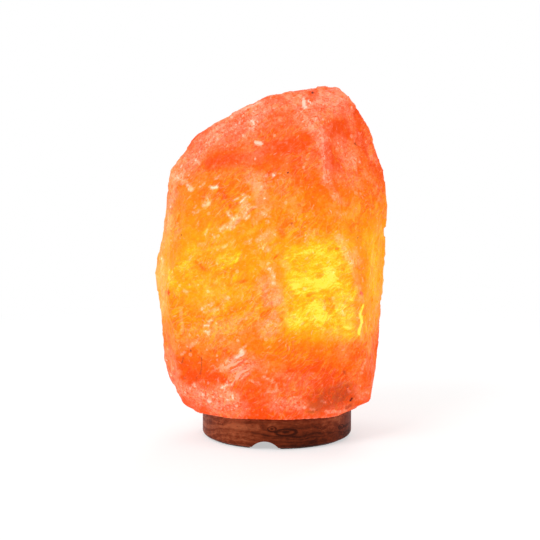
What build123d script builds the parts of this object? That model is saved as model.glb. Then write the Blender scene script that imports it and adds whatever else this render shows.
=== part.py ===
from build123d import *
from math import asin, atan2, cos, hypot, pi, radians, sin, sqrt
import os

# A salt crystal lamp: a hewn block of rock salt on a turned wooden base, lit from a hole drilled up
# through both by a small screw-in bulb on a sprung holder.
# Millimetres. The origin is where the base's axis meets the table, +Z is up and the front faces -Y.

# Salt crystal: how far it reaches from the base's axis, and how tall it stands on the base
crystal_left_reach = 86.0
crystal_right_reach = 77.5
crystal_front_reach = 64.0
crystal_back_reach = 60.0
crystal_height = 224.0

# Wooden base, its felt, and the notch that the lead leaves through
base_height = 21.0
base_rim_width = 20.5
base_foot_round = 3.0
base_top_round = 1.5
recess_depth = 12.0
plate_ledge = 5.0
notch_width = 19.0
notch_height = 5.0
notch_offset = -8.4
felt_thickness = 1.0
felt_inset = 1.0

# Screws that hold the crystal on the base, and their plugs in the salt
screw_count = 3
screw_length = 30.0
screw_radius = 2.0
screw_head_radius = 3.8
screw_head_height = 2.4
screw_point_height = 4.0
screw_sink = 0.3
anchor_wall = 1.5
anchor_length = 18.0
anchor_spare_depth = 3.0
recess_cross_width = 0.9
recess_cross_depth = 1.4

# Cover plate, clip bracket and the sprung wings that grip the drilled hole
plate_thickness = 1.2
plate_gap = 0.5
plate_edge_round = 0.4
bracket_thickness = 1.2
bracket_width = 24.0
ear_width = 7.0
ear_rise = 5.0
pin_radius = 1.5
pin_head_radius = 2.3
pin_head_height = 0.8
wing_wire_radius = 0.6
wing_coil_pitch = 1.75
wing_coil_turns = 2.25
wing_side_gap = 0.6
wing_socket_gap = 1.2
wing_rise = 23.0
wing_tip_rise = 6.0
wing_tip_lean = 4.0
wing_bend_radius = 1.8
wing_weld_bead = 0.03
hole_clearance = 3.2

# Threaded nipple that clamps the plate, the bracket and the lamp holder together
nipple_radius = 5.0
nipple_wall = 0.9
nipple_length = 13.0
nipple_overhang = 0.5
nut_width = 14.0
nut_thickness = 3.0
washer_radius = 7.5
washer_thickness = 0.6
gland_flange_radius = 6.0
gland_flange_thickness = 1.5
gland_wall = 0.95
gland_depth = 7.0

# Lamp holder
socket_radius = 13.0
socket_wall = 1.5
socket_floor = 3.0
socket_base_height = 20.0
spigot_height = 4.0
sleeve_height = 40.0
sleeve_rim_round = 0.6
block_height = 7.0
shell_height = 22.0
shell_wall = 1.25
contact_leaf_thickness = 0.5
contact_leaf_width = 4.0
contact_leaf_height = 4.5
contact_leaf_length = 8.0
terminal_offset = 6.0
terminal_screw_radius = 1.5
terminal_screw_length = 5.5
terminal_head_radius = 2.6
terminal_head_height = 2.0
terminal_slot_width = 0.7

# Screw-in bulb
bulb_radius = 13.0
bulb_length = 57.0
bulb_glass_thickness = 0.7
bulb_neck_radius = 6.9
bulb_neck_height = 2.7
thread_pitch = 2.822
thread_ridge_radius = 0.85
thread_turns = 4.25
cap_core_radius = 6.15
cap_wall = 1.05
cap_height = 13.9
cap_shoulder_height = 1.8
cap_rim_height = 2.6
cap_rim_wall = 0.7
cap_insulator_height = 2.2
cap_insulator_radius = 3.2
tip_radius = 2.4
tip_height = 1.0
tip_round = 0.6
stem_radius = 2.0
stem_flare_height = 5.0
stem_height = 14.7
lead_wire_radius = 0.3
lead_wire_foot_offset = 1.2
lead_wire_bend_radius = 1.0
filament_length = 8.2
filament_coil_radius = 0.6
filament_wire_radius = 0.15
filament_pitch = 0.75

# Clearances
fit_gap = 0.1
running_gap = 0.1
wall_gap = 0.3
contact_gap = 0.2
thread_gap = 0.2
bulb_headroom = 18.0
drill_point_height = 15.0

# Plan sizes that follow from what fits inside what
coil_radius = pin_radius + running_gap + wing_wire_radius
coil_outer_radius = coil_radius + wing_wire_radius
pin_offset = socket_radius + wing_socket_gap + coil_outer_radius
bracket_length = 2 * pin_offset + ear_width
hole_radius = hypot(bracket_length / 2, bracket_width / 2) + hole_clearance
recess_radius = hole_radius + plate_ledge
base_radius = recess_radius + base_rim_width
base_flat_radius = base_radius - base_foot_round
screw_circle_radius = (recess_radius + base_flat_radius) / 2
anchor_radius = screw_radius + fit_gap + anchor_wall
spigot_radius = socket_radius - socket_wall - fit_gap
gland_radius = nipple_radius - nipple_wall - fit_gap
shell_bore_radius = cap_core_radius + thread_ridge_radius + thread_gap
shell_radius = shell_bore_radius + shell_wall
cap_rim_radius = bulb_neck_radius + fit_gap + cap_rim_wall

# Levels above the table, from the felt up through the base to the crystal
base_bottom = felt_thickness
base_top = base_bottom + base_height
recess_top = base_bottom + recess_depth
screw_bottom = base_bottom + screw_sink

# Levels of the light unit, from the cover plate up through the holder to the bulb's crown
plate_bottom = recess_top - plate_thickness
washer_bottom = plate_bottom - washer_thickness
nut_bottom = washer_bottom - nut_thickness
nipple_bottom = nut_bottom - nipple_overhang
bracket_bottom = recess_top
bracket_top = bracket_bottom + bracket_thickness
pin_level = bracket_top + ear_rise
sleeve_bottom = bracket_top + socket_base_height
block_bottom = sleeve_bottom + spigot_height
block_top = block_bottom + block_height
shell_top = block_top + shell_height
tip_bottom = block_top + contact_leaf_height + contact_gap
insulator_bottom = tip_bottom + tip_height
cap_bottom = insulator_bottom + cap_insulator_height
cap_rim_bottom = cap_bottom + cap_height + cap_shoulder_height
bulb_top = tip_bottom + bulb_length
filament_level = bulb_top - bulb_radius
thread_start = cap_bottom + thread_ridge_radius
stem_top = cap_rim_bottom + stem_height
hole_top = bulb_top + bulb_headroom

# Corners of the hewn crystal, from its foot to its crown, as shares of its reach to the left (-) or
# right (+), of its reach to the front (-) or back (+), and of its height
crystal_corners = [
    # foot, sawn flat
    (-0.68, 0.00, 0.00), (-0.62, -0.52, 0.00), (-0.36, -0.80, 0.00), (0.08, -0.87, 0.00),
    (0.48, -0.75, 0.00), (0.70, -0.26, 0.00), (0.65, 0.34, 0.00), (0.40, 0.72, 0.00),
    (-0.08, 0.84, 0.00), (-0.48, 0.62, 0.00),
    # hips, where the chisel rounded off the foot
    (-0.76, -0.36, 0.015), (-0.81, -0.12, 0.04), (-0.90, 0.10, 0.09), (-0.76, -0.60, 0.09),
    (-0.28, -0.93, 0.08), (0.30, -0.93, 0.07), (0.84, -0.42, 0.03), (0.87, 0.06, 0.05),
    (0.76, 0.60, 0.09), (0.16, 0.95, 0.10), (-0.60, 0.80, 0.10),
    # belly
    (-0.94, -0.10, 0.16), (-1.00, 0.02, 0.42), (-0.86, -0.64, 0.38), (-0.40, -0.95, 0.46),
    (0.06, -1.00, 0.30), (0.73, -0.80, 0.30), (0.92, -0.08, 0.15), (0.97, 0.10, 0.40),
    (0.84, 0.62, 0.36), (0.34, 1.00, 0.42), (-0.30, 0.97, 0.36), (-0.84, 0.66, 0.40),
    # shoulders
    (-0.70, -0.66, 0.66), (-0.12, -0.90, 0.68), (0.61, -0.85, 0.52), (1.00, -0.04, 0.64),
    (0.80, 0.60, 0.64), (0.28, 0.86, 0.70), (-0.34, 0.84, 0.64), (-0.74, 0.58, 0.62),
    (-0.87, -0.08, 0.74), (0.96, 0.02, 0.75), (-0.66, 0.02, 0.85), (0.86, 0.04, 0.85),
    (0.38, -0.70, 0.84),
    # crown
    (-0.35, -0.20, 0.92), (-0.30, 0.34, 0.90), (-0.06, -0.22, 0.978), (0.30, -0.24, 0.985),
    (0.43, -0.06, 1.00), (0.55, 0.04, 0.995), (0.64, -0.10, 0.97), (0.74, -0.04, 0.925),
    (0.60, 0.42, 0.92), (-0.02, 0.40, 0.955),
]

# Hollows that the chisel left in the crystal's faces: turn about the upright axis from the right in
# degrees (-90 is the front), share of the crystal's height, half width and depth
chisel_hollows = [
    # front
    (-146, 0.16, 30, 2.6), (-112, 0.10, 28, 2.2), (-84, 0.20, 33, 2.4), (-48, 0.12, 34, 2.8),
    (-140, 0.40, 34, 2.6), (-106, 0.46, 30, 2.0), (-74, 0.42, 31, 2.2), (-47, 0.38, 28, 2.4),
    (-142, 0.66, 32, 2.8), (-104, 0.72, 34, 2.2), (-66, 0.66, 30, 2.4), (-40, 0.60, 24, 2.0),
    (-118, 0.86, 26, 1.8), (-72, 0.86, 28, 2.2), (-34, 0.78, 24, 2.0),
    # left and right flanks
    (181, 0.26, 30, 3.4), (178, 0.60, 27, 2.2), (-12, 0.22, 30, 2.4), (-10, 0.50, 32, 2.6),
    (6, 0.78, 26, 1.8),
    # back
    (152, 0.18, 30, 2.6), (118, 0.12, 34, 2.6), (82, 0.24, 33, 2.8), (40, 0.14, 32, 2.6),
    (20, 0.36, 28, 2.4), (146, 0.44, 32, 2.8), (108, 0.42, 30, 2.2), (66, 0.46, 33, 2.8),
    (140, 0.70, 30, 2.4), (106, 0.66, 31, 2.4), (64, 0.72, 32, 2.6), (30, 0.64, 30, 2.4),
    (100, 0.88, 26, 2.0), (50, 0.88, 24, 1.8),
]

above = (Align.CENTER, Align.CENTER, Align.MIN)
sides = (-1, 1)


def disc(radius, bottom, top):
    return Pos(0, 0, bottom) * Cylinder(radius, top - bottom, align=above)


def tube(radius, bore_radius, bottom, top):
    return disc(radius, bottom, top) - disc(bore_radius, bottom, top)


def turned(*outline):
    """A solid turned about the upright axis from an outline of (radius, level) points."""
    points = [(radius, 0, level) for radius, level in outline]
    return revolve(make_face(Polyline(*points, close=True)), axis=Axis.Z)


def at_screws(solid):
    """Copies of an upright solid on the screw circle, the first of them straight behind the axis."""
    back = 90
    return Part() + [place * solid for place in PolarLocations(screw_circle_radius, screw_count, back)]


# Lamp body


def crystal_corner(side, depth, rise):
    side_reach = crystal_right_reach if side > 0 else crystal_left_reach
    depth_reach = crystal_back_reach if depth > 0 else crystal_front_reach
    return Vector(side * side_reach, depth * depth_reach, base_top + rise * crystal_height)


def bulb_hole():
    straight = disc(hole_radius, base_top, hole_top)
    drill_point = Cone(hole_radius, hole_radius / 2, drill_point_height, align=above)
    return straight + Pos(0, 0, hole_top) * drill_point


def chisel_hollow(block, turn, rise, half_width, depth):
    """The round cutter whose surface dips by depth into the block's face."""
    level = base_top + rise * crystal_height
    way = Vector(cos(radians(turn)), sin(radians(turn)), 0)
    hits = block.find_intersection_points(Axis((0, 0, level), tuple(way)))
    place, outward = max(hits, key=lambda hit: (hit[0] - Vector(0, 0, level)).dot(way))
    radius = (half_width**2 + depth**2) / (2 * depth)
    return Pos(place + outward * (radius - depth)) * Sphere(radius)


def salt_crystal():
    block = ConvexPolyhedron([crystal_corner(*corner) for corner in crystal_corners])
    cutters = [chisel_hollow(block, *hollow) for hollow in chisel_hollows]
    for cutter in cutters:
        block -= cutter
    plug_hole = disc(anchor_radius + fit_gap, base_top, base_top + anchor_length + fit_gap)
    return block - bulb_hole() - at_screws(plug_hole)


def cord_notch():
    """The arched groove that runs from the recess to the front of the rim."""
    arch_radius = ((notch_width / 2) ** 2 + notch_height**2) / (2 * notch_height)
    arch_level = base_bottom + notch_height - arch_radius
    groove = Rot(90, 0, 0) * Cylinder(arch_radius, base_radius, align=above)
    return Pos(notch_offset, 0, arch_level) * groove


def screw_hole():
    bore = disc(screw_radius + wall_gap, base_bottom, base_top)
    sink = disc(screw_head_radius + wall_gap, base_bottom, screw_bottom)
    cone = Cone(screw_head_radius + wall_gap, screw_radius + wall_gap, screw_head_height, align=above)
    return bore + sink + Pos(0, 0, screw_bottom) * cone


def wooden_base():
    body = disc(base_radius, base_bottom, base_top)
    body = fillet(body.edges().group_by(Axis.Z)[0], base_foot_round)
    body = fillet(body.edges().group_by(Axis.Z)[-1], base_top_round)
    body -= disc(recess_radius, base_bottom, recess_top)
    body -= disc(hole_radius, recess_top, base_top)
    return body - cord_notch() - at_screws(screw_hole())


def felt_ring():
    ring = tube(base_flat_radius - felt_inset, recess_radius + felt_inset, 0, felt_thickness)
    gap_width = notch_width + 2 * felt_inset
    gap_align = (Align.CENTER, Align.MAX, Align.MIN)
    return ring - Pos(notch_offset, 0, 0) * Box(gap_width, base_radius, felt_thickness, align=gap_align)


def base_screw():
    head = Cone(screw_head_radius, screw_radius, screw_head_height, align=above)
    shank_length = screw_length - screw_point_height
    shank = Cylinder(screw_radius, shank_length, align=above)
    point = Pos(0, 0, shank_length) * Cone(screw_radius, 0, screw_point_height, align=above)
    slot = Box(recess_cross_width, screw_head_radius, recess_cross_depth, align=above)
    cross = slot + Rot(0, 0, 90) * slot
    return Pos(0, 0, screw_bottom) * (head + shank + point - cross)


def screw_anchor():
    plug = disc(anchor_radius, base_top, base_top + anchor_length)
    bore = disc(screw_radius + fit_gap, base_top, base_top + anchor_length - anchor_spare_depth)
    return plug - bore


# Light unit: plate, bracket and wings


def cover_plate():
    plate = disc(recess_radius - plate_gap, plate_bottom, recess_top)
    plate = fillet(plate.edges().group_by(Axis.Z)[0], plate_edge_round)
    return plate - disc(nipple_radius + fit_gap, plate_bottom, recess_top)


def bracket_ear():
    upright = Pos(0, ear_rise / 2) * Rectangle(ear_width, ear_rise)
    eye = Pos(0, ear_rise) * (Circle(ear_width / 2) - Circle(pin_radius + fit_gap / 2))
    sheet = upright - Pos(0, ear_rise) * Circle(ear_width / 2) + eye
    return extrude(Plane.XZ * sheet, amount=bracket_thickness / 2, both=True)


def clip_bracket():
    strip = Box(bracket_length, bracket_width, bracket_thickness, align=above)
    bracket = Pos(0, 0, bracket_bottom) * strip
    ear_offset = (bracket_width - bracket_thickness) / 2
    for x_side in sides:
        for y_side in sides:
            bracket += Pos(x_side * pin_offset, y_side * ear_offset, bracket_top) * bracket_ear()
    return bracket - disc(nipple_radius + fit_gap, bracket_bottom, bracket_top)


def clip_pin():
    half = Cylinder(pin_radius, bracket_width / 2, align=above)
    head = Pos(0, 0, bracket_width / 2) * Cylinder(pin_head_radius, pin_head_height, align=above)
    half = Rot(90, 0, 0) * (half + head)
    return Pos(0, 0, pin_level) * (half + mirror(half, about=Plane.XZ))


def clip_pins():
    return Part() + [Pos(side * pin_offset, 0, 0) * clip_pin() for side in sides]


def wing_clip():
    """The right-hand wing: a wire loop whose two legs end in coils on the pin."""
    leg_y = bracket_width / 2 - bracket_thickness - wing_side_gap - wing_wire_radius
    reach = sqrt((hole_radius - wall_gap - wing_wire_radius) ** 2 - leg_y**2)
    knee = Vector(reach, leg_y, pin_level + wing_rise)
    tip = Vector(reach - wing_tip_lean, leg_y, knee.Z + wing_tip_rise)
    # the leg leaves the coil as a tangent, so its lean follows from the knee's place
    lean = atan2(reach - pin_offset, wing_rise) - asin(coil_radius / hypot(reach - pin_offset, wing_rise))
    coil_centre = Vector(pin_offset, leg_y, pin_level)
    outward = Vector(cos(lean), 0, -sin(lean))
    leg_start = coil_centre + outward * coil_radius
    wire = Circle(wing_wire_radius)

    leg_line = FilletPolyline(leg_start, knee, tip, Vector(tip.X, 0, tip.Z), radius=wing_bend_radius)
    leg = sweep(Plane(origin=leg_line @ 0, z_dir=leg_line % 0) * wire, path=leg_line)

    coil_line = Helix(wing_coil_pitch, wing_coil_turns * wing_coil_pitch, coil_radius, lefthand=True)
    coil_end = Plane(origin=coil_line @ 0, z_dir=coil_line % 0) * wire
    coil = sweep(coil_end, path=coil_line, is_frenet=True)
    coil = Location(Plane(origin=coil_centre, x_dir=outward, z_dir=(0, -1, 0))) * coil

    weld = Pos(leg_start) * Sphere(wing_wire_radius + wing_weld_bead)
    half = leg + weld + coil
    return half + mirror(half, about=Plane.XZ)


def threaded_nipple():
    nipple_top = nipple_bottom + nipple_length
    return tube(nipple_radius, nipple_radius - nipple_wall, nipple_bottom, nipple_top)


def lock_washer():
    return tube(washer_radius, nipple_radius + fit_gap, washer_bottom, plate_bottom)


def lock_nut():
    hexagon = RegularPolygon(nut_width / 2, 6, major_radius=False)
    body = extrude(Pos(0, 0, nut_bottom) * hexagon, amount=nut_thickness)
    return body - disc(nipple_radius + fit_gap, nut_bottom, washer_bottom)


def cord_gland():
    flange_bottom = nipple_bottom - gland_flange_thickness
    flange = disc(gland_flange_radius, flange_bottom, nipple_bottom)
    sleeve = disc(gland_radius, nipple_bottom, nipple_bottom + gland_depth)
    bore = disc(gland_radius - gland_wall, flange_bottom, nipple_bottom + gland_depth)
    return flange + sleeve - bore


# Light unit: lamp holder


def socket_base():
    cup = disc(socket_radius, bracket_top, sleeve_bottom) + disc(spigot_radius, sleeve_bottom, block_bottom)
    cup -= disc(spigot_radius - socket_wall, bracket_top + socket_floor, block_bottom)
    return cup - disc(nipple_radius + fit_gap, bracket_top, bracket_top + socket_floor)


def socket_sleeve():
    sleeve_top = sleeve_bottom + sleeve_height
    sleeve = tube(socket_radius, socket_radius - socket_wall, sleeve_bottom, sleeve_top)
    return fillet(sleeve.edges().group_by(Axis.Z)[-1], sleeve_rim_round)


def contact_block():
    block = disc(spigot_radius, block_bottom, block_top)
    bore_top = block_bottom + terminal_screw_length + fit_gap
    bore = disc(terminal_screw_radius + fit_gap, block_bottom, bore_top)
    for side in sides:
        block -= Pos(side * terminal_offset, 0, 0) * bore
    return block


def terminal_screw():
    shank = Cylinder(terminal_screw_radius, terminal_screw_length, align=above)
    head = Cylinder(terminal_head_radius, terminal_head_height, align=above)
    slot = Box(2 * terminal_head_radius, terminal_slot_width, terminal_head_height / 2, align=above)
    head = Pos(0, 0, -terminal_head_height) * (head - slot)
    return Pos(0, 0, block_bottom) * (shank + head)


def terminal_screws():
    return Part() + [Pos(side * terminal_offset, 0, 0) * terminal_screw() for side in sides]


def thread_ridge(line_radius, start, turns):
    """A round-topped helical ridge about the upright axis."""
    line = Helix(thread_pitch, turns * thread_pitch, line_radius)
    end = Plane(origin=line @ 0, z_dir=line % 0) * Circle(thread_ridge_radius)
    return Pos(0, 0, start) * sweep(end, path=line, is_frenet=True)


def thread_shell():
    """The brass screw shell, whose ridge runs half a pitch above the cap's."""
    shell = tube(shell_radius, shell_bore_radius, block_top, shell_top)
    start = thread_start - 1.5 * thread_pitch
    turns = thread_turns + 1
    return shell + thread_ridge(shell_bore_radius + thread_gap, start, turns)


def centre_contact():
    """A sprung leaf bent into a C, open to the left."""
    half = contact_leaf_thickness / 2
    low = half
    high = contact_leaf_height - half
    left = -contact_leaf_length / 2
    right = contact_leaf_length / 2
    bend_radius = 2 * contact_leaf_thickness
    line = FilletPolyline((left, low), (right, low), (right, high), (left / 2, high), radius=bend_radius)
    leaf = extrude(Plane.XZ * trace(line, contact_leaf_thickness), amount=contact_leaf_width / 2, both=True)
    return Pos(0, 0, block_top) * leaf


# Bulb


def bulb_cap():
    cap_bore_radius = cap_core_radius - cap_wall
    shoulder = cap_bottom + cap_height
    rim_top = cap_rim_bottom + cap_rim_height
    rim_bore_radius = bulb_neck_radius + fit_gap
    cap = turned(
        (cap_bore_radius, cap_bottom),
        (cap_core_radius, cap_bottom),
        (cap_core_radius, shoulder),
        (cap_rim_radius, cap_rim_bottom),
        (cap_rim_radius, rim_top),
        (rim_bore_radius, rim_top),
        (rim_bore_radius, cap_rim_bottom),
        (cap_bore_radius, cap_rim_bottom),
    )
    return cap + thread_ridge(cap_core_radius - fit_gap, thread_start, thread_turns)


def bulb_cap_insulator():
    cone = Cone(cap_insulator_radius, cap_core_radius, cap_insulator_height, align=above)
    return Pos(0, 0, insulator_bottom) * cone


def bulb_tip_contact():
    button = disc(tip_radius, tip_bottom, insulator_bottom)
    return fillet(button.edges().group_by(Axis.Z)[0], tip_round)


def bulb_form(inset):
    """The bulb's blown form, drawn in from its outer face by inset."""
    neck = (bulb_neck_radius - inset, 0, cap_rim_bottom + bulb_neck_height)
    waist = (bulb_radius - inset, 0, filament_level)
    crown = (0, 0, bulb_top - inset)
    round_off = (bulb_radius - inset) * sin(pi / 4)
    wall = Line((bulb_neck_radius - inset, 0, cap_rim_bottom), neck)
    flare = Spline(neck, waist, tangents=((0, 0, 1), (0, 0, 1)))
    dome = ThreePointArc(waist, (round_off, 0, filament_level + round_off), crown)
    axis_line = Line(crown, (0, 0, cap_rim_bottom))
    floor_line = Line((0, 0, cap_rim_bottom), wall @ 0)
    return revolve(make_face([wall, flare, dome, axis_line, floor_line]), axis=Axis.Z)


def bulb_glass():
    return bulb_form(0) - bulb_form(bulb_glass_thickness)


def bulb_stem():
    flare_radius = bulb_neck_radius - bulb_glass_thickness - fit_gap
    return turned(
        (0, cap_rim_bottom),
        (flare_radius, cap_rim_bottom),
        (stem_radius, cap_rim_bottom + stem_flare_height),
        (stem_radius, stem_top),
        (0, stem_top),
    )


def lead_wire():
    """The right-hand wire, from the top of the stem out and up to the end of the filament."""
    reach = filament_length / 2 + filament_wire_radius + lead_wire_radius + fit_gap
    rise = filament_level - stem_top
    line = FilletPolyline(
        (lead_wire_foot_offset, 0, stem_top),
        (lead_wire_foot_offset, 0, stem_top + rise / 4),
        (reach, 0, stem_top + rise * 3 / 4),
        (reach, 0, filament_level + filament_coil_radius),
        radius=lead_wire_bend_radius,
    )
    return sweep(Plane(origin=line @ 0, z_dir=line % 0) * Circle(lead_wire_radius), path=line)


def bulb_lead_wires():
    wire = lead_wire()
    return wire + mirror(wire, about=Plane.YZ)


def bulb_filament():
    line = Helix(filament_pitch, filament_length, filament_coil_radius)
    end = Plane(origin=line @ 0, z_dir=line % 0) * Circle(filament_wire_radius)
    coil = sweep(end, path=line, is_frenet=True)
    return Location(Plane(origin=(-filament_length / 2, 0, filament_level), z_dir=(1, 0, 0))) * coil


def least_coil_gap(coil_line_radius, pitch, wire_radius):
    """The least clear gap between one turn and the next, measured on points a turn apart."""
    steps = 72
    gaps = []
    for step in range(steps // 2, steps * 3 // 2 + 1):
        turn = 2 * pi * step / steps
        along = pitch * step / steps
        across = 2 * coil_line_radius * abs(sin(turn / 2))
        gaps.append(hypot(along, across) - 2 * wire_radius)
    return min(gaps)


right_wing = wing_clip()
pieces = {
    "salt_crystal": salt_crystal(),
    "wooden_base": wooden_base(),
    "felt_ring": felt_ring(),
    "base_screws": at_screws(base_screw()),
    "screw_anchors": at_screws(screw_anchor()),
    "cover_plate": cover_plate(),
    "clip_bracket": clip_bracket(),
    "clip_pins": clip_pins(),
    "wing_clip_left": mirror(right_wing, about=Plane.YZ),
    "wing_clip_right": right_wing,
    "threaded_nipple": threaded_nipple(),
    "lock_washer": lock_washer(),
    "lock_nut": lock_nut(),
    "cord_gland": cord_gland(),
    "socket_base": socket_base(),
    "socket_sleeve": socket_sleeve(),
    "contact_block": contact_block(),
    "terminal_screws": terminal_screws(),
    "thread_shell": thread_shell(),
    "centre_contact": centre_contact(),
    "bulb_cap": bulb_cap(),
    "bulb_cap_insulator": bulb_cap_insulator(),
    "bulb_tip_contact": bulb_tip_contact(),
    "bulb_glass": bulb_glass(),
    "bulb_stem": bulb_stem(),
    "bulb_lead_wires": bulb_lead_wires(),
    "bulb_filament": bulb_filament(),
}

os.makedirs("parts", exist_ok=True)
for name, solid in pieces.items():
    export_step(solid, f"parts/{name}.step")

filament_gap = least_coil_gap(filament_coil_radius, filament_pitch, filament_wire_radius)
wing_gap = least_coil_gap(coil_radius, wing_coil_pitch, wing_wire_radius)
print(f"least gap between turns: filament {filament_gap:.2f} mm, wing coils {wing_gap:.2f} mm")
print(f"base radius {base_radius:.2f}, drilled hole radius {hole_radius:.2f}, hole top {hole_top:.2f}")
print(f"bulb top {bulb_top:.2f}, filament level {filament_level:.2f}, recess top {recess_top:.2f}")
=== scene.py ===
import bpy, bmesh, math
import numpy as np
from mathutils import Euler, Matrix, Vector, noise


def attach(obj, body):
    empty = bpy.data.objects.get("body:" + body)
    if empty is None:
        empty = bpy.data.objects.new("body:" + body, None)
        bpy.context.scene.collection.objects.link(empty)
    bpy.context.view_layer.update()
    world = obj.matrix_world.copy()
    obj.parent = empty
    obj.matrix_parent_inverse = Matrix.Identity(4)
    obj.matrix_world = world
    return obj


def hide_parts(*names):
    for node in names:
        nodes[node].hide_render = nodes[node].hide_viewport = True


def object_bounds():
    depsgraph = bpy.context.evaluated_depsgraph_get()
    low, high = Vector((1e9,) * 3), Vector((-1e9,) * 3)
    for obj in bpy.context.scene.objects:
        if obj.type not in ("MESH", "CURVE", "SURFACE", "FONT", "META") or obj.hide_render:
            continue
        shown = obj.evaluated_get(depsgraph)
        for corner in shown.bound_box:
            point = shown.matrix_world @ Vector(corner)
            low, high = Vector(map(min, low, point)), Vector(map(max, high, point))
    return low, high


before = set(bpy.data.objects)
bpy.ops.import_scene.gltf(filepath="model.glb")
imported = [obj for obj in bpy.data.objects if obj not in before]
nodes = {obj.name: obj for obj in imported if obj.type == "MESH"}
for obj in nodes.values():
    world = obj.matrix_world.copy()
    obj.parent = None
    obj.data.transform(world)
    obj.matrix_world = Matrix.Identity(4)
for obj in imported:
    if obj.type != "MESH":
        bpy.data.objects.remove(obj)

noise.seed_set(7)        # without it the noise differs from run to run
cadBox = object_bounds()
mm = 0.001


# small helpers for shader trees

def fillInputs(tree, made, inputs):
    # each input gets a link or a plain value; a colour of three parts gets its fourth
    for name, value in inputs.items():
        socket = made.inputs[name]
        if isinstance(value, bpy.types.NodeSocket):
            tree.links.new(value, socket)
        elif socket.type == "RGBA":
            socket.default_value = (*value[:3], 1.0)
        else:
            socket.default_value = value


def addNode(tree, kind, inputs=None, **settings):
    made = tree.nodes.new(kind)
    for name, value in settings.items():
        setattr(made, name, value)
    fillInputs(tree, made, inputs or {})
    return made


def mathNode(tree, operation, first, second=0.0, third=0.0, clamp=False):
    made = addNode(tree, "ShaderNodeMath", {0: first, 1: second, 2: third}, operation=operation, use_clamp=clamp)
    return made.outputs[0]


def vectorNode(tree, operation, first, second=(0.0, 0.0, 0.0), scale=1.0):
    return addNode(tree, "ShaderNodeVectorMath", {0: first, 1: second, 3: scale}, operation=operation)


def remap(tree, value, low, high, toLow=0.0, toHigh=1.0, smooth=True):
    kind = "SMOOTHSTEP" if smooth else "LINEAR"
    sockets = {"Value": value, "From Min": low, "From Max": high, "To Min": toLow, "To Max": toHigh}
    return addNode(tree, "ShaderNodeMapRange", sockets, interpolation_type=kind).outputs["Result"]


def mixColour(tree, factor, first, second):
    return addNode(tree, "ShaderNodeMix", {0: factor, 6: first, 7: second}, data_type="RGBA").outputs[2]


def colourRamp(tree, factor, stops):
    made = addNode(tree, "ShaderNodeValToRGB", {"Fac": factor})
    ramp = made.color_ramp
    while len(ramp.elements) < len(stops):
        ramp.elements.new(0.5)
    for element, (place, colour) in zip(ramp.elements, stops):
        element.position = place
        element.color = (*colour, 1.0)
    return made.outputs["Color"]


def startGroup(name, inputs, outputs):
    tree = bpy.data.node_groups.new(name, "ShaderNodeTree")
    for socket, (kind, default) in inputs.items():
        made = tree.interface.new_socket(name=socket, in_out="INPUT", socket_type=kind)
        if default is not None:
            made.default_value = default
    for socket, kind in outputs.items():
        tree.interface.new_socket(name=socket, in_out="OUTPUT", socket_type=kind)
    return tree, tree.nodes.new("NodeGroupInput").outputs, tree.nodes.new("NodeGroupOutput").inputs


def useGroup(tree, group, inputs):
    return addNode(tree, "ShaderNodeGroup", inputs, node_tree=group).outputs


def newMaterial(name):
    made = bpy.data.materials.new(name)
    made.use_nodes = True
    tree = made.node_tree
    tree.nodes.clear()
    shader = tree.nodes.new("ShaderNodeBsdfPrincipled")
    output = tree.nodes.new("ShaderNodeOutputMaterial")
    tree.links.new(shader.outputs[0], output.inputs["Surface"])
    return made, tree, shader


def millimetres(tree):
    place = addNode(tree, "ShaderNodeTexCoord").outputs["Object"]
    return vectorNode(tree, "SCALE", place, scale=1.0 / mm).outputs[0]


def noiseNode(tree, vector, scale, detail, roughness=0.5):
    inputs = {"Vector": vector, "Scale": scale, "Detail": detail, "Roughness": roughness}
    return addNode(tree, "ShaderNodeTexNoise", inputs).outputs


def bumpNormal(tree, height, strength, depth):
    inputs = {"Height": height, "Strength": strength, "Distance": depth * mm}
    return addNode(tree, "ShaderNodeBump", inputs).outputs[0]


# shader groups that several finishes share

def buildCloud():
    # soft blotches of a given size in millimetres
    kinds = {"Vector": ("NodeSocketVector", None), "Size": ("NodeSocketFloat", 10.0),
             "Detail": ("NodeSocketFloat", 3.0), "Low": ("NodeSocketFloat", 0.35), "High": ("NodeSocketFloat", 0.65)}
    tree, given, result = startGroup("cloud", kinds, {"Mask": "NodeSocketFloat"})
    scale = mathNode(tree, "DIVIDE", 1.0, given["Size"])
    field = noiseNode(tree, given["Vector"], scale, given["Detail"], 0.55)["Fac"]
    tree.links.new(remap(tree, field, given["Low"], given["High"]), result["Mask"])
    return tree


def buildSpecks():
    # separate round specks, about one in each cell, of uneven size
    kinds = {"Vector": ("NodeSocketVector", None), "Spacing": ("NodeSocketFloat", 5.0),
             "Radius": ("NodeSocketFloat", 0.15), "Softness": ("NodeSocketFloat", 0.05)}
    tree, given, result = startGroup("specks", kinds, {"Mask": "NodeSocketFloat"})
    scale = mathNode(tree, "DIVIDE", 1.0, given["Spacing"])
    wobble = noiseNode(tree, given["Vector"], 0.9, 2.0)["Color"]
    bent = vectorNode(tree, "SCALE", wobble, scale=1.6).outputs[0]
    place = vectorNode(tree, "ADD", given["Vector"], bent)
    cells = addNode(tree, "ShaderNodeTexVoronoi", {"Vector": place.outputs[0], "Scale": scale})
    pick = addNode(tree, "ShaderNodeSeparateColor", {"Color": cells.outputs["Color"]}).outputs["Red"]
    size = mathNode(tree, "MULTIPLY", mathNode(tree, "POWER", pick, 2.0), given["Radius"])
    inner = mathNode(tree, "SUBTRACT", size, given["Softness"])
    edge = remap(tree, cells.outputs["Distance"], inner, size, 1.0, 0.0, smooth=False)
    tree.links.new(edge, result["Mask"])
    return tree


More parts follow.
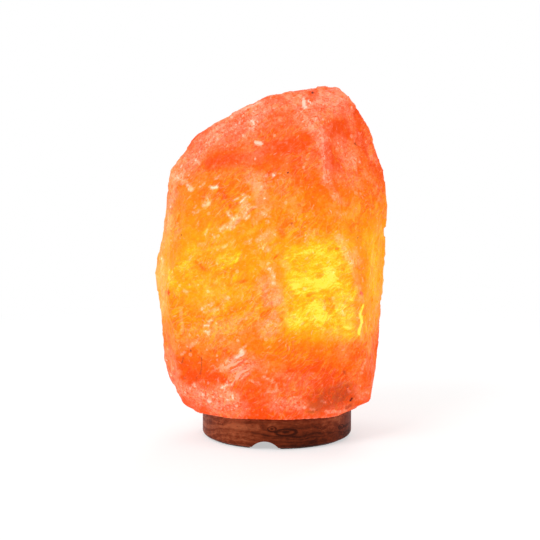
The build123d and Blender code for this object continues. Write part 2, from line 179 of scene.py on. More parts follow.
def buildShards():
    # splinters with crisp borders: each has its own tone, and the border between two shows as a fine line
    kinds = {"Vector": ("NodeSocketVector", None), "Spacing": ("NodeSocketFloat", 4.0),
             "Line": ("NodeSocketFloat", 0.05)}
    tree, given, result = startGroup("shards", kinds, {"Tone": "NodeSocketFloat", "Line": "NodeSocketFloat"})
    scale = mathNode(tree, "DIVIDE", 1.0, given["Spacing"])
    cells = addNode(tree, "ShaderNodeTexVoronoi", {"Vector": given["Vector"], "Scale": scale})
    tone = addNode(tree, "ShaderNodeSeparateColor", {"Color": cells.outputs["Color"]}).outputs["Green"]
    borders = addNode(tree, "ShaderNodeTexVoronoi", {"Vector": given["Vector"], "Scale": scale},
                      feature="DISTANCE_TO_EDGE")
    tree.links.new(tone, result["Tone"])
    line = remap(tree, borders.outputs["Distance"], 0.0, given["Line"], 1.0, 0.0, smooth=False)
    tree.links.new(line, result["Line"])
    return tree


def buildWear():
    # handling marks for metal and plastic: large smudges, fine scratches and a light unevenness
    kinds = {"Vector": ("NodeSocketVector", None), "Size": ("NodeSocketFloat", 6.0),
             "Scratch": ("NodeSocketFloat", 0.5)}
    outs = {"Shade": "NodeSocketFloat", "Rough": "NodeSocketFloat", "Height": "NodeSocketFloat"}
    tree, given, result = startGroup("handlingWear", kinds, outs)
    scale = mathNode(tree, "DIVIDE", 1.0, given["Size"])
    smudge = noiseNode(tree, given["Vector"], scale, 4.0)["Fac"]
    stretch = addNode(tree, "ShaderNodeMapping", {"Vector": given["Vector"], "Scale": (0.35, 0.35, 6.0)})
    lines = noiseNode(tree, stretch.outputs[0], 1.4, 3.0)["Fac"]
    scratch = mathNode(tree, "MULTIPLY", remap(tree, lines, 0.52, 0.7), given["Scratch"])
    smudgeMask = remap(tree, smudge, 0.3, 0.7)
    shade = remap(tree, smudgeMask, 0.0, 1.0, 0.82, 1.04)
    tree.links.new(mathNode(tree, "SUBTRACT", shade, mathNode(tree, "MULTIPLY", scratch, 0.1)), result["Shade"])
    rough = mathNode(tree, "MULTIPLY_ADD", smudgeMask, 0.6, scratch, clamp=True)
    tree.links.new(rough, result["Rough"])
    height = mathNode(tree, "SUBTRACT", mathNode(tree, "MULTIPLY", smudge, 0.3), scratch)
    tree.links.new(height, result["Height"])
    return tree


cloud, specks, shards, handlingWear = buildCloud(), buildSpecks(), buildShards(), buildWear()


def cloudMask(tree, vector, size, detail, low=0.3, high=0.7):
    inputs = {"Vector": vector, "Size": size, "Detail": detail, "Low": low, "High": high}
    return useGroup(tree, cloud, inputs)["Mask"]


print("stage: shader groups")


# camera, light and floor

view = {"target": (-4.9, 0.0, 117.0), "distance": 1500.0, "elevation": 8.5, "frameWidth": 378.0,
        "pixels": 540, "sensor": 36.0}
studio = {"worldStrength": 0.62, "floorSize": 12.0, "floorColour": (0.93, 0.93, 0.93),
          "paperFade": (0.14, 0.55), "shadowEase": 0.5, "lampsAim": (0.0, 0.0, 0.12)}
softboxes = (
    {"name": "keyLight", "place": (-0.9, -1.1, 1.25), "size": 0.9, "power": 18.0},
    {"name": "fillLight", "place": (1.3, -0.8, 0.7), "size": 1.0, "power": 4.5},
    {"name": "backLight", "place": (0.5, 1.4, 1.2), "size": 1.0, "power": 13.0},
    {"name": "sideLight", "place": (-1.5, 0.6, 0.8), "size": 1.0, "power": 7.0},
)


def makeCamera():
    data = bpy.data.cameras.new("camera")
    camera = bpy.data.objects.new("camera", data)
    bpy.context.collection.objects.link(camera)
    tilt = math.radians(view["elevation"])
    back = Vector((0, -math.cos(tilt), math.sin(tilt))) * view["distance"] * mm
    camera.location = Vector(view["target"]) * mm + back
    camera.rotation_euler = Euler((math.pi / 2 - tilt, 0, 0))
    data.sensor_width = view["sensor"]
    data.lens = data.sensor_width * view["distance"] / view["frameWidth"]
    data.clip_start = 0.05
    bpy.context.scene.camera = camera


def seenDirectly(tree):
    # 1 where a ray only looks, straight or through gloss and glass, and 0 where it carries light on
    rays = tree.nodes.new("ShaderNodeLightPath").outputs
    seen = mathNode(tree, "ADD", rays["Is Camera Ray"], rays["Is Glossy Ray"], clamp=True)
    return mathNode(tree, "ADD", seen, rays["Is Transmission Ray"], clamp=True)


def makeWorld():
    world = bpy.data.worlds.new("studio")
    bpy.context.scene.world = world
    world.use_nodes = True
    tree = world.node_tree
    tree.nodes.clear()
    strength = remap(tree, seenDirectly(tree), 0.0, 1.0, studio["worldStrength"], 1.0, smooth=False)
    sky = addNode(tree, "ShaderNodeBackground", {"Color": (1, 1, 1, 1), "Strength": strength})
    output = tree.nodes.new("ShaderNodeOutputWorld")
    tree.links.new(sky.outputs[0], output.inputs["Surface"])


def makeSoftbox(box):
    data = bpy.data.lights.new(box["name"], "AREA")
    data.size = box["size"]
    data.energy = box["power"]
    lamp = bpy.data.objects.new(box["name"], data)
    lamp.location = box["place"]
    aim = Vector(studio["lampsAim"]) - lamp.location
    lamp.rotation_euler = aim.to_track_quat("-Z", "Y").to_euler()
    lamp.visible_camera = False
    bpy.context.collection.objects.link(lamp)


def makeFloor():
    bm = bmesh.new()
    bmesh.ops.create_grid(bm, x_segments=1, y_segments=1, size=studio["floorSize"] / 2)
    mesh = bpy.data.meshes.new("floor")
    bm.to_mesh(mesh)
    bm.free()
    floor = bpy.data.objects.new("floor", mesh)
    bpy.context.collection.objects.link(floor)
    material, tree, shader = newMaterial("floorPaper")
    fillInputs(tree, shader, {"Base Color": studio["floorColour"], "Roughness": 0.9, "Specular IOR Level": 0.1})
    # seen directly or in gloss, the paper turns plain white away from the lamp and keeps its shadow near it
    place = addNode(tree, "ShaderNodeTexCoord").outputs["Object"]
    away = vectorNode(tree, "LENGTH", place).outputs["Value"]
    share = remap(tree, away, *studio["paperFade"], studio["shadowEase"], 1.0)
    glow = addNode(tree, "ShaderNodeEmission", {"Color": (1, 1, 1, 1), "Strength": 1.0})
    white = mathNode(tree, "MULTIPLY", seenDirectly(tree), share)
    mixed = addNode(tree, "ShaderNodeMixShader", {0: white, 1: shader.outputs[0], 2: glow.outputs[0]})
    tree.links.new(mixed.outputs[0], tree.nodes["Material Output"].inputs["Surface"])
    mesh.materials.append(material)


bpy.context.scene.view_settings.view_transform = "Standard"
makeCamera()
makeWorld()
for softbox in softboxes:
    makeSoftbox(softbox)
makeFloor()
print("stage: camera, light and floor")


# the salt crystal

crystalShape = {
    "voxel": 1.30, "softenRounds": 4, "reliefRounds": 9,
    "footLevel": 22.0, "footEdge": 0.8, "footEase": 5.0, "holeRadius": 26.95, "holeEdge": 1.2, "holeTop": 141.0,
    "skinDrop": 0.45,          # how far the dressed skin lies inside the solid before it is chipped
    "chips": ((15.0, 0.80), (6.5, 0.34)), "chipTilt": 2.2,    # size and depth of the small flat chips
    "chipBend": 1.5, "chipSway": 0.25, "chipSpread": 9.1,
    "lumps": ((40.0, 0.55), (9.0, 0.30), (3.0, 0.16)),        # size and height of the soft unevenness
    "strokes": {"turn": 40.0, "girth": 70.0, "length": 15.0, "width": 2.4, "depth": 0.34, "gain": 1.6,
                "patch": 26.0, "spread": 0.25},               # the chisel's grooves and where they lie
    "pits": {"size": 4.5, "depth": 0.9, "least": 0.42},
    "innerSize": 34.0,         # size of the veins inside, which show as differences in tone
}

# how hot the salt glows at each level, in millimetres above the table
glowByLevel = ((22, 0.10), (30, 0.13), (48, 0.17), (58, 0.22), (69, 0.36), (80, 0.51), (94, 0.61), (115, 0.67),
               (136, 0.66), (158, 0.57), (175, 0.46), (188, 0.31), (200, 0.19), (218, 0.14), (238, 0.15), (246, 0.18))

# marks on the front, each a stroke: its start and its end in the picture, its half width and its strength
frontGlow = (
    # the clear face with the bulb behind it
    (318, 285, 318, 285, 30, 0.06), (300, 288, 330, 281, 8, 0.16), (300, 318, 318, 314, 12, 0.12),
    (318, 248, 334, 240, 14, 0.08), (345, 292, 350, 322, 10, 0.12), (326, 322, 350, 332, 9, 0.1),
    (363, 306, 361, 314, 1.2, 0.6), (361, 314, 362, 322, 1.6, 0.7), (362, 322, 359, 333, 1.1, 0.55),
    (373, 240, 376, 290, 8, 0.1), (370, 290, 376, 326, 9, 0.08), (367, 332, 374, 348, 7, 0.09),
    (318, 276, 320, 275, 2.6, -0.28), (336, 249, 337, 249, 1.4, -0.4), (329, 250, 331, 250, 1.8, -0.22),
    (362, 293, 362, 295, 1.2, -0.6), (307, 296, 310, 296, 1.3, -0.35), (288, 292, 306, 288, 1.3, -0.14),
    (292, 296, 328, 291, 1.2, -0.12), (345, 302, 350, 303, 2, -0.18), (281, 233, 283, 236, 3.5, -0.16),
    (282, 228, 286, 224, 5, -0.1), (294, 316, 295, 318, 1.4, -0.2), (318, 302, 330, 300, 1.4, -0.1),
    (325, 309, 336, 306, 1.6, -0.12), (296, 262, 312, 256, 4, -0.08),
    # the amber left of it, with its yellow shell-shaped break
    (222, 262, 233, 255, 6, 0.16), (222, 268, 238, 260, 1.6, 0.14), (236, 262, 240, 252, 1.5, 0.14),
    (176, 278, 186, 270, 12, 0.1), (205, 300, 235, 285, 12, 0.04), (200, 240, 216, 232, 9, 0.06),
    (206, 250, 226, 246, 1.5, 0.14), (205, 232, 210, 224, 1.6, 0.16), (176, 268, 190, 262, 1.6, 0.12),
    (190, 250, 204, 256, 3, 0.08), (228, 286, 246, 280, 1.5, -0.14), (196, 262, 206, 270, 1.5, -0.16),
    (240, 236, 262, 226, 2.2, 0.08), (188, 288, 202, 280, 2, 0.08), (208, 316, 226, 308, 2, 0.08),
    (166, 291, 169, 293, 1.4, -0.5), (245, 330, 262, 322, 8, -0.06), (270, 268, 272, 330, 8, -0.08),
    # the deep red band under the crown, and the lines below it
    (212, 164, 258, 158, 6, -0.15), (262, 150, 292, 145, 7, -0.15), (286, 150, 316, 140, 6, -0.06),
    (324, 130, 336, 127, 6, -0.14), (326, 145, 330, 166, 5, -0.13), (360, 141, 374, 145, 6, -0.14),
    (374, 166, 384, 178, 5, -0.12), (190, 168, 206, 166, 5, -0.08), (196, 196, 226, 196, 6, -0.06),
    (219, 190, 236, 204, 1.1, -0.13), (246, 214, 255, 207, 1.2, -0.16), (232, 226, 240, 221, 1.4, -0.22),
    (224, 196, 232, 208, 1.2, -0.16), (268, 172, 280, 168, 1.6, -0.12), (300, 108, 306, 104, 1.4, -0.2),
    # broad patches, a little warmer or cooler
    (162, 262, 166, 312, 9, 0.07), (196, 330, 232, 326, 9, 0.05), (330, 347, 354, 342, 7, -0.05),
    (163, 204, 166, 226, 6, -0.05), (186, 246, 200, 290, 17, 0.06), (165, 186, 176, 200, 9, -0.07),
    (166, 352, 178, 384, 9, 0.04), (186, 330, 204, 340, 11, 0.05), (276, 102, 300, 108, 9, 0.05),
    (244, 162, 262, 166, 9, -0.03),
    # the red wedge and the clear orange patches near the foot
    (208, 377, 221, 379, 3.6, -0.16), (214, 371, 218, 373, 3, -0.12), (338, 352, 356, 350, 8, -0.1),
    (252, 402, 266, 400, 8, -0.05), (286, 378, 304, 376, 9, -0.07), (322, 384, 336, 380, 8, -0.08),
    (228, 366, 241, 355, 1.1, -0.2), (232, 371, 246, 359, 1.1, -0.2), (238, 376, 247, 367, 1.1, -0.2),
    (245, 380, 249, 373, 1.1, -0.16), (180, 372, 190, 378, 8, -0.06),
)
frontFrostAndPaintedSheen = (
    # crown and left shoulder
    (322, 97, 342, 99, 8, 0.95), (336, 106, 349, 107, 4, 0.3), (346, 104, 353, 118, 6, 0.5),
    (256, 106, 302, 99, 8, 0.62), (300, 103, 346, 112, 8, 0.42), (206, 134, 256, 110, 11, 0.66),
    (178, 168, 204, 140, 10, 0.72), (222, 142, 250, 128, 9, 0.45), (262, 120, 300, 112, 9, 0.3),
    (300, 110, 316, 118, 7, 0.4), (303, 101, 306, 108, 1.4, 1.2), (308, 100, 311, 103, 1.3, 1.2),
    (252, 120, 254, 125, 1.2, 0.9), (249, 128, 252, 129, 1.3, 0.8), (256, 142, 261, 144, 2.2, 1.4),
    (273, 176, 274, 175, 1.6, 1.6), (200, 141, 224, 124, 1.4, 0.5), (228, 117, 262, 101, 1.5, 0.5),
    # the grainy streak from the crown down the right
    (312, 122, 322, 140, 7, 0.42), (322, 140, 326, 178, 6, 0.42), (340, 140, 350, 160, 8, 0.45),
    (326, 180, 336, 196, 4, 0.55), (336, 196, 346, 204, 3, 0.4), (352, 128, 360, 140, 5, 0.4),
    (332, 172, 356, 184, 8, 0.34), (322, 126, 324, 178, 1.6, 0.35), (371, 156, 375, 160, 2.6, 0.7),
    (352, 158, 357, 172, 1.4, 0.6), (364, 172, 376, 186, 2.4, 0.4), (355, 192, 372, 206, 1.2, 0.45),
    (300, 118, 310, 128, 6, 0.36), (376, 190, 380, 200, 3, 0.4), (340, 216, 346, 213, 1.2, 0.8),
    # left rim, whose pale band is partly frost and partly painted rim light, the specks beside it and the haze under
    # the amber
    (170, 182, 164, 226, 6, 0.6), (163, 228, 160, 250, 5, 0.45), (160, 262, 161, 312, 5, 0.48),
    (188, 334, 234, 326, 9, 0.22), (246, 336, 268, 328, 8, 0.18), (180, 176, 184, 182, 3, 0.7),
    (188, 185, 191, 189, 2, 1.2), (199, 186, 204, 184, 0.9, 1.1), (213, 187, 217, 186, 1.5, 1.5),
    (216, 179, 219, 176, 1, 0.9), (204, 206, 208, 203, 2.4, 1.2), (194, 212, 198, 211, 1.6, 0.9),
    (207, 197, 208, 200, 1, 1), (174, 176, 178, 180, 2.4, 0.7), (178, 230, 175, 240, 2, 0.4),
    (176, 192, 172, 200, 3, 0.5), (196, 160, 200, 164, 1.2, 0.8),
    # the scuffed patch that runs down to the left, its strokes, and the pink above it
    (252, 178, 262, 184, 7, 0.5), (258, 190, 262, 204, 7, 0.42), (245, 205, 244, 214, 4.6, 0.85),
    (238, 218, 231, 226, 3.6, 0.95), (228, 226, 222, 229, 3.2, 0.95), (233, 201, 238, 199, 1.1, 1.2),
    (240, 202, 246, 198, 1.1, 1.2), (243, 195, 249, 197, 1.2, 0.9), (250, 208, 256, 206, 1.4, 0.9),
    (229, 214, 233, 219, 1.3, 1), (228, 212, 229, 216, 1.2, 0.9), (254, 220, 268, 210, 4, 0.4),
    (262, 212, 270, 216, 1.2, 0.7), (246, 219, 250, 216, 1.2, 1), (266, 221, 268, 223, 1.6, 1),
    (208, 229, 206, 234, 1.1, 0.9), (246, 243, 250, 241, 2, 0.9), (258, 240, 265, 236, 2.6, 0.8),
    (262, 246, 268, 250, 2.6, 0.8), (222, 248, 228, 245, 1.2, 0.9), (198, 245, 204, 244, 1.4, 0.7),
    (262, 240, 270, 234, 6, 0.35), (213, 234, 214, 236, 1.1, 1.3),
    # the pale curve and the pink band left of the clear face
    (270, 269, 274, 276, 1.2, 1.1), (274, 276, 273, 284, 1.2, 0.9), (266, 282, 270, 300, 7, 0.55),
    (258, 280, 262, 290, 5, 0.3), (276, 290, 278, 300, 5, 0.45), (268, 322, 274, 316, 4, 0.45),
    (262, 332, 276, 326, 6, 0.35), (268, 270, 270, 268, 1.4, 1.3), (285, 262, 288, 270, 3, 0.3),
    # small pale bits in the amber
    (184, 291, 187, 292, 1.7, 1.2), (200, 309, 214, 303, 1.2, 0.9), (203, 312, 218, 309, 1.2, 0.7),
    (208, 322, 211, 320, 1.4, 1.2), (204, 326, 208, 325, 1.2, 1.2), (205, 331, 210, 332, 1.2, 1.1),
    (206, 336, 209, 335, 1.2, 0.9), (226, 299, 229, 298, 1.6, 1), (222, 304, 223, 308, 1.1, 0.7),
    (180, 308, 183, 330, 1.6, 0.5), (188, 346, 196, 342, 2.4, 0.6), (182, 354, 185, 352, 1.4, 1),
    (240, 352, 246, 345, 1.2, 1), (232, 322, 250, 314, 3, 0.3), (160, 252, 162, 262, 1.6, 0.7),
    # right of the clear face
    (339, 238, 351, 262, 4, 0.6), (351, 262, 362, 300, 3, 0.45), (353, 252, 358, 262, 4, 0.55),
    (361, 312, 362, 338, 2, 0.4), (369, 292, 373, 297, 2.4, 0.3), (342, 311, 345, 315, 1.3, 0.7),
    (368, 346, 371, 356, 1.4, 0.9), (306, 236, 307, 246, 1.4, 0.5), (322, 300, 324, 306, 2, 0.4),
    # the hatched break low on the left and the frost along the foot
    (224, 368, 242, 354, 4, 0.62), (236, 376, 247, 366, 6, 0.66), (237, 358, 245, 351, 1.6, 0.7),
    (228, 366, 242, 355, 0.9, 0.35), (234, 373, 247, 361, 0.9, 0.35), (240, 380, 250, 371, 0.9, 0.35),
    (222, 387, 226, 385, 1.4, 1.2), (226, 385, 233, 385, 1.1, 0.9), (208, 376, 221, 365, 1, 0.6),
    (250, 379, 260, 385, 1.1, 0.8), (262, 376, 276, 383, 0.9, 0.7), (276, 383, 277, 390, 0.9, 0.6),
    (277, 390, 265, 394, 0.9, 0.6), (249, 358, 262, 366, 6, 0.4), (220, 392, 230, 396, 7, 0.5),
    (196, 388, 214, 404, 5, 0.5), (212, 402, 218, 406, 3, 0.25), (194, 384, 196, 387, 1.4, 0.9),
    (201, 393, 203, 396, 1.3, 0.7), (208, 401, 210, 402, 1.3, 0.7), (186, 390, 196, 404, 6, 0.45),
    (214, 408, 244, 411, 6, 0.45), (276, 406, 302, 405, 6, 0.5), (206, 398, 236, 400, 8, 0.35),
    (165, 359, 166, 360, 1.2, 1.5), (169, 373, 171, 375, 1.2, 1.4), (168, 352, 174, 372, 6, 0.4),
    (322, 401, 326, 403, 1.2, 1.3), (347, 389, 349, 392, 1.1, 1.3), (311, 408, 314, 410, 1.2, 1.1),
    (326, 412, 346, 411, 1.3, 0.9), (356, 392, 364, 396, 6, 0.45), (178, 384, 184, 392, 5, 0.45),
    (362, 372, 366, 358, 1.2, 0.6), (312, 404, 344, 402, 7, 0.25), (288, 378, 290, 379, 1.2, 0.9),
    (232, 396, 233, 398, 1.2, 1.3), (282, 401, 312, 394, 1.2, 0.3),
    # where the skin stays clear
    (371, 226, 378, 300, 9, -0.42), (376, 306, 370, 350, 9, -0.36), (382, 214, 384, 250, 5, -0.2),
    (206, 376, 222, 378, 4, -0.45), (296, 340, 330, 352, 12, -0.15), (310, 402, 346, 396, 9, -0.3),
)
frontDirt = (
    (184, 357, 182, 363, 0.7, 0.9), (201, 356, 202, 366, 0.7, 1), (202, 366, 200, 374, 0.7, 0.8),
    (196, 377, 197, 382, 0.9, 0.6), (197, 386, 199, 390, 0.9, 0.6), (182, 376, 185, 379, 1, 1),
    (188, 392, 189, 393, 0.9, 1.1), (190, 350, 192, 352, 0.8, 1), (316, 403, 346, 391, 10, 0.6),
    (326, 402, 350, 402, 8, 0.3), (308, 412, 317, 411, 1.2, 0.4), (346, 408, 351, 405, 1.4, 0.65),
    (350, 401, 352, 398, 1.3, 0.75), (346, 394, 347, 386, 0.9, 0.4), (343, 372, 345, 374, 1.3, 0.8),
    (313, 93, 314, 93, 1, 1.4), (382, 303, 383, 304, 1.3, 1.3), (379, 332, 380, 334, 1.2, 1.2),
    (304, 228, 305, 228, 0.8, 1), (366, 242, 367, 260, 1, 0.3), (336, 394, 342, 398, 2.4, 0.15),
    (370, 353, 371, 355, 0.9, 1.3), (355, 144, 356, 145, 0.8, 1.1), (290, 224, 291, 224, 0.8, 1),
    (176, 170, 183, 160, 0.8, 0.8), (299, 204, 300, 205, 0.8, 1), (328, 388, 330, 392, 1.4, 0.2),
)
# the clear face in front: where it begins and ends in the picture, each with the width of its soft border
window = {"across": (283.0, 4.0, 358.0, 10.0), "down": (232.0, 18.0, 347.0, 16.0), "gain": 0.20}

# the same round the sides and the back, each a centre, its reach and a strength, in millimetres
wideGlow = (
    ((-36, 52, 112), (26, 24, 34), 0.2), ((40, 50, 126), (22, 24, 26), 0.22), ((72, 24, 104), (14, 24, 30), 0.14),
    ((-80, 24, 100), (16, 18, 26), 0.14), ((6, 60, 152), (16, 18, 16), 0.14), ((40, 50, 128), (9, 16, 9), 0.2),
    ((-34, 54, 104), (10, 16, 8), 0.16), ((0, 56, 96), (12, 20, 40), -0.14), ((-60, 44, 150), (18, 20, 14), -0.1),
    ((60, 40, 74), (18, 20, 10), -0.12), ((6, 50, 186), (60, 30, 9), -0.12), ((74, 6, 146), (10, 16, 12), 0.12),
    ((-72, 30, 176), (18, 22, 9), -0.1), ((-84, 4, 70), (14, 18, 8), -0.12), ((-20, 58, 70), (12, 18, 6), -0.12),
)
wideFrost = (
    ((-22, 40, 216), (30, 22, 9), 0.6), ((36, 34, 236), (24, 22, 8), 0.7), ((-58, 34, 188), (16, 18, 14), 0.55),
    ((24, 60, 62), (22, 16, 12), 0.7), ((58, 42, 178), (12, 16, 24), 0.5), ((-64, 42, 58), (14, 16, 18), 0.55),
    ((4, 56, 32), (40, 16, 8), 0.6), ((50, 50, 128), (6, 14, 30), 0.55), ((74, 30, 164), (10, 22, 34), 0.4),
    ((74, 30, 70), (12, 18, 16), 0.5), ((-30, 58, 148), (7, 14, 20), 0.6), ((-78, 34, 120), (10, 14, 34), 0.45),
    ((20, 62, 106), (8, 14, 12), 0.5), ((-86, 6, 150), (10, 16, 22), 0.45), ((-14, 60, 182), (16, 16, 6), 0.5),
)
wideDirt = (((-20, 56, 27), (18, 12, 7), 0.8), ((62, 30, 30), (12, 14, 9), 0.6), ((30, 62, 88), (1.6, 9, 7), 1),
            ((-56, 48, 92), (5, 9, 1.4), 1), ((-70, 36, 48), (1.5, 9, 6), 1), ((76, 20, 118), (9, 3, 1.4), 0.8))

# how the marks go on: soft borders in shares of a stroke's width, frayed outlines and a drift in height
brush = {"fineWidth": 2.5, "fineBlur": 0.8, "broadBlur": 1.1, "patchReach": 1.4,
         "ragged": 1.6, "raggedSize": 5.0, "driftSize": 44.0, "drift": 30.0, "reliefRange": 1.7,
         # where the front half, the faces turned to it and those that look forwards end, and over what width
         "front": (8.0, 24.0), "facing": (0.15, 0.3), "ahead": (-0.15, 0.3)}


def strokeField(points, strokes, ahead):
    # how strongly the strokes cover each picture point; fine ones keep to faces that look forwards
    total, broad = np.zeros(len(points)), np.zeros(len(points))
    for startX, startY, endX, endY, halfWidth, strength in strokes:
        start, along = np.array((startX, startY), float), np.array((endX - startX, endY - startY), float)
        share = np.clip((points - start) @ along / max(along @ along, 1e-9), 0, 1)
        away = np.linalg.norm(points - start - share[:, None] * along, axis=1) / halfWidth
        fine = halfWidth <= brush["fineWidth"]
        blur = brush["fineBlur"] if fine else brush["broadBlur"]
        fade = np.clip((1.0 + blur / 2 - away) / blur, 0, 1)
        cover = strength * fade * fade * (3 - 2 * fade)
        if fine:
            total += cover * ahead
        elif strength > 0:
            broad += cover * (1 - broad)
        else:
            total += cover
    return total + broad


def patchField(places, patches):
    # the patches' joint strength at each place, each one fading out towards its reach
    total = np.zeros(len(places))
    for centre, reach, strength in patches:
        away = np.linalg.norm((places - np.array(centre, float)) / np.array(reach, float), axis=1)
        fade = np.clip(brush["patchReach"] - away, 0, 1)
        total += strength * fade * fade * (3 - 2 * fade)
    return total


def picturePoints(places):
    # where the camera sees each place, in the picture's pixels
    tilt = math.radians(view["elevation"])
    ahead, up = np.array((0, math.cos(tilt), -math.sin(tilt))), np.array((0, math.sin(tilt), math.cos(tilt)))
    seen = places - np.array(view["target"]) + ahead * view["distance"]
    scale, middle = view["distance"] / (seen @ ahead) * view["pixels"] / view["frameWidth"], view["pixels"] / 2
    return np.stack([middle + seen[:, 0] * scale, middle - (seen @ up) * scale], axis=1)


def chipCell(place, size):
    # the small flat chip that a place lies on: its centre, and how far off the place is
    spot = place / size
    spot += noise.noise_vector(spot * crystalShape["chipBend"]) * crystalShape["chipSway"]
    nearest = noise.voronoi(spot)[1][0]
    return nearest, spot - nearest


def crystalPush(place):
    # how far a point of the skin moves outwards, in millimetres
    push = -crystalShape["skinDrop"]
    for size, depth in crystalShape["chips"]:
        nearest, away = chipCell(place, size)
        push += depth * crystalShape["chipTilt"] * away.dot(noise.noise_vector(nearest * crystalShape["chipSpread"]))
    for size, height in crystalShape["lumps"]:
        push += height * noise.noise(place / size)
    strokes = crystalShape["strokes"]
    turn = math.radians(strokes["turn"])
    around = math.atan2(place.x, -place.y) * strokes["girth"]
    along = around * math.cos(turn) + place.z * math.sin(turn)
    across = place.z * math.cos(turn) - around * math.sin(turn)
    groove = noise.noise(Vector((along / strokes["length"], across / strokes["width"], 3.7)))
    worked = max(0.0, noise.noise(place / strokes["patch"] + Vector((7.1, 0, 0))) + strokes["spread"])
    push += strokes["depth"] * groove * worked * strokes["gain"]
    pits = crystalShape["pits"]
    hollow = noise.noise(place / pits["size"] + Vector((0, 5.3, 0))) - pits["least"]
    return push - pits["depth"] * max(0.0, hollow)


def keepInside(place, low, high):
    return [min(max(part, least), most) for part, least, most in zip(place, low, high)]


def soften(bm, verts, rounds):
    for softenRound in range(rounds):
        bmesh.ops.smooth_vert(bm, verts=verts, factor=0.5, use_axis_x=True, use_axis_y=True, use_axis_z=True)


def hewCrystal(solid):
    # softens the solid's edges, then chips and scores its skin; the sawn foot and the drilled hole stay as they are
    bm = bmesh.new()
    bm.from_mesh(solid)
    foot, footEdge = crystalShape["footLevel"], crystalShape["footEdge"]
    holeReach = crystalShape["holeRadius"] + crystalShape["holeEdge"]
    outer = []
    for vert in bm.verts:
        place = vert.co / mm
        drilled = math.hypot(place.x, place.y) < holeReach and place.z < crystalShape["holeTop"]
        if not drilled and place.z > foot + footEdge:
            outer.append(vert)
    soften(bm, outer, crystalShape["softenRounds"])
    bm.normal_update()
    moves = []
    for vert in outer:
        place = vert.co / mm
        ease = min(1.0, (place.z - foot) / crystalShape["footEase"])
        moves.append(vert.normal * crystalPush(place) * ease * mm)
    for vert, move in zip(outer, moves):
        vert.co = keepInside(vert.co + move, *cadBox)
    for vert in bm.verts:
        if vert.co.z / mm < foot + footEdge and vert.normal.z < -0.5:
            vert.co.z = foot * mm
    bm.to_mesh(solid)
    hewn = np.array([vert.co / mm for vert in bm.verts])
    bm.normal_update()
    normals = np.array([vert.normal for vert in bm.verts])
    soften(bm, bm.verts, crystalShape["reliefRounds"])
    soft = np.array([vert.co / mm for vert in bm.verts])
    bm.free()
    return hewn, normals, np.einsum("ij,ij->i", hewn - soft, normals)


def fadeOut(values, end, width):
    return np.clip((end - values) / width, 0, 1)


def between(values, low, lowFade, high, highFade):
    return fadeOut(-values, -low, lowFade) * fadeOut(values, high, highFade)


def paintCrystal(solid, places, normals, ridge):
    # writes what the salt's finish reads: glow, frost, ridges and dirt, and the tone of each chip
    spots = [Vector(place) for place in places]
    # the marks' outlines fray a little
    ragged = np.array([noise.noise_vector(spot / brush["raggedSize"]) for spot in spots])
    points = picturePoints(places) + ragged[:, :2] * brush["ragged"]
    front = fadeOut(places[:, 1], *brush["front"])
    facing = fadeOut(normals[:, 1], *brush["facing"]) * front
    ahead = fadeOut(normals[:, 1], *brush["ahead"])
    levels = np.array(glowByLevel)
    drift = np.array([noise.noise(spot / brush["driftSize"] + Vector((2.7, 0, 1.3))) for spot in spots])
    glow = np.interp(places[:, 2] + (1 - front) * drift * brush["drift"], levels[:, 0], levels[:, 1])
    glow += front * strokeField(points, frontGlow, ahead) + patchField(places, wideGlow)
    inside = between(points[:, 0], *window["across"]) * between(points[:, 1], *window["down"])
    glow += facing * inside * window["gain"]
    frost = front * strokeField(points, frontFrostAndPaintedSheen, ahead) + patchField(places, wideFrost)
    dirt = facing * strokeField(points, frontDirt, ahead) + patchField(places, wideDirt)
    tones = []
    wideSize, fineSize = (size for size, depth in crystalShape["chips"])
    for spot in spots:
        wide = chipCell(spot, wideSize)[0] * 3.3
        fine = chipCell(spot, fineSize)[0] * 5.1
        inner = noise.voronoi(spot / crystalShape["innerSize"] + Vector((3.1, 1.7, 0.4)))[1][0] * 4.7
        tones.append((noise.cell(wide), noise.cell(fine), noise.cell(inner), 1.0))
    marks = solid.attributes.new("saltMarks", "FLOAT_COLOR", "POINT")
    # how far each point stands out of its smoothed skin, which the finish turns into painted relief shading and
    # painted ridge highlights
    relief = np.clip(0.5 + ridge / brush["reliefRange"], 0, 1)
    values = np.stack([np.clip(glow, 0, 1.2), np.clip(frost, -0.6, 1.5), relief, np.clip(dirt, 0, 1.5)], axis=1)
    marks.data.foreach_set("color", values.ravel())
    chips = solid.attributes.new("saltChips", "FLOAT_COLOR", "POINT")
    chips.data.foreach_set("color", np.array(tones).ravel())


def voxelCopy(node, name, voxel):
    # a piece with a copy of a node's mesh, merged and rebuilt from small voxels
    mesh = nodes[node].data.copy()
    piece = bpy.data.objects.new(name, mesh)
    bpy.context.collection.objects.link(piece)
    bm = bmesh.new()
    bm.from_mesh(mesh)
    bmesh.ops.remove_doubles(bm, verts=bm.verts, dist=0.01 * mm)
    bm.to_mesh(mesh)
    bm.free()
    remesh = piece.modifiers.new("voxels", "REMESH")
    remesh.mode = "VOXEL"
    remesh.voxel_size = voxel * mm
    solid = bpy.data.meshes.new_from_object(piece.evaluated_get(bpy.context.evaluated_depsgraph_get()))
    piece.modifiers.clear()
    piece.data = solid
    return piece, solid


def dress(solid, material):
    for face in solid.polygons:
        face.use_smooth = True
    solid.materials.clear()
    solid.materials.append(material)


def makeCrystal():
    crystal, solid = voxelCopy("salt_crystal", "hewn_crystal", crystalShape["voxel"])
    paintCrystal(solid, *hewCrystal(solid))
    dress(solid, saltMaterial())
    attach(crystal, "lamp_body")
    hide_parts("salt_crystal")


